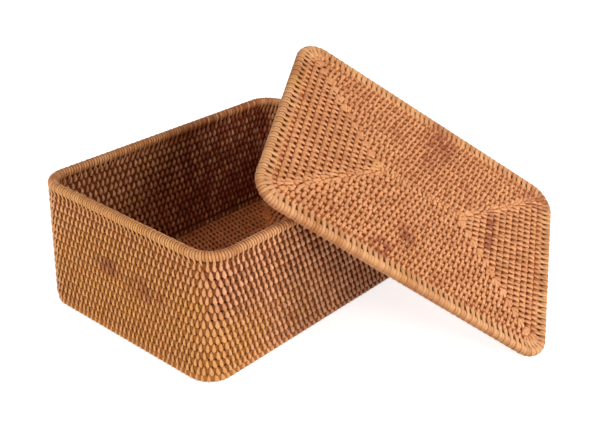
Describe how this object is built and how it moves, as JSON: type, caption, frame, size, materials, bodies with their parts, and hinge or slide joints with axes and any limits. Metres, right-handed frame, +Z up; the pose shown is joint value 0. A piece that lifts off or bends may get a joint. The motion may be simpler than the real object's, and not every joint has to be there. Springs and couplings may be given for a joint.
{
  "type": "woven lidded box",
  "caption": "Rectangular storage box of lashed rattan hoops with rounded corners, a wrapped rim and a loose flat coiled lid that leans on its front rim.",
  "frame": {"origin": "centre of the underside of the base, on the surface that the box stands on", "axes": "+X along the box's long side, +Y along its short side away from the leaning lid, +Z up"},
  "size_m": [0.4477, 0.4324, 0.2426],
  "materials": {
    "wall_cane": "satin varnished rattan",
    "rim_cane": "satin varnished rattan peel",
    "base_cane": "satin varnished rattan",
    "lid_cane": "satin varnished rattan"
  },
  "bodies": {
    "box": {"base_spine": "base_cane", "base_hoop_01": "base_cane", "base_hoop_02": "base_cane", "base_hoop_03": "base_cane", "base_hoop_04": "base_cane", "base_hoop_05": "base_cane", "base_hoop_06": "base_cane", "base_hoop_07": "base_cane", "base_hoop_08": "base_cane", "base_hoop_09": "base_cane", "base_hoop_10": "base_cane", "base_hoop_11": "base_cane", "base_hoop_12": "base_cane", "base_hoop_13": "base_cane", "wall_hoop_01": "wall_cane", "wall_hoop_02": "wall_cane", "wall_hoop_03": "wall_cane", "wall_hoop_04": "wall_cane", "wall_hoop_05": "wall_cane", "wall_hoop_06": "wall_cane", "wall_hoop_07": "wall_cane", "wall_hoop_08": "wall_cane", "wall_hoop_09": "wall_cane", "wall_hoop_10": "wall_cane", "wall_hoop_11": "wall_cane", "wall_hoop_12": "wall_cane", "wall_hoop_13": "wall_cane", "wall_hoop_14": "wall_cane", "wall_hoop_15": "wall_cane", "box_rim": "rim_cane"},
    "lid": {"lid_spine": "lid_cane", "lid_hoop_01": "lid_cane", "lid_hoop_02": "lid_cane", "lid_hoop_03": "lid_cane", "lid_hoop_04": "lid_cane", "lid_hoop_05": "lid_cane", "lid_hoop_06": "lid_cane", "lid_hoop_07": "lid_cane", "lid_hoop_08": "lid_cane", "lid_hoop_09": "lid_cane", "lid_hoop_10": "lid_cane", "lid_hoop_11": "lid_cane", "lid_hoop_12": "lid_cane", "lid_hoop_13": "lid_cane", "lid_rim": "rim_cane", "lid_lip": "lid_cane"}
  },
  "joints": [
    {"name": "lid_lift", "type": "slide", "parent": "box", "child": "lid", "axis": [0, 0, 1], "range_m": [0, 0.2]}
  ]
}
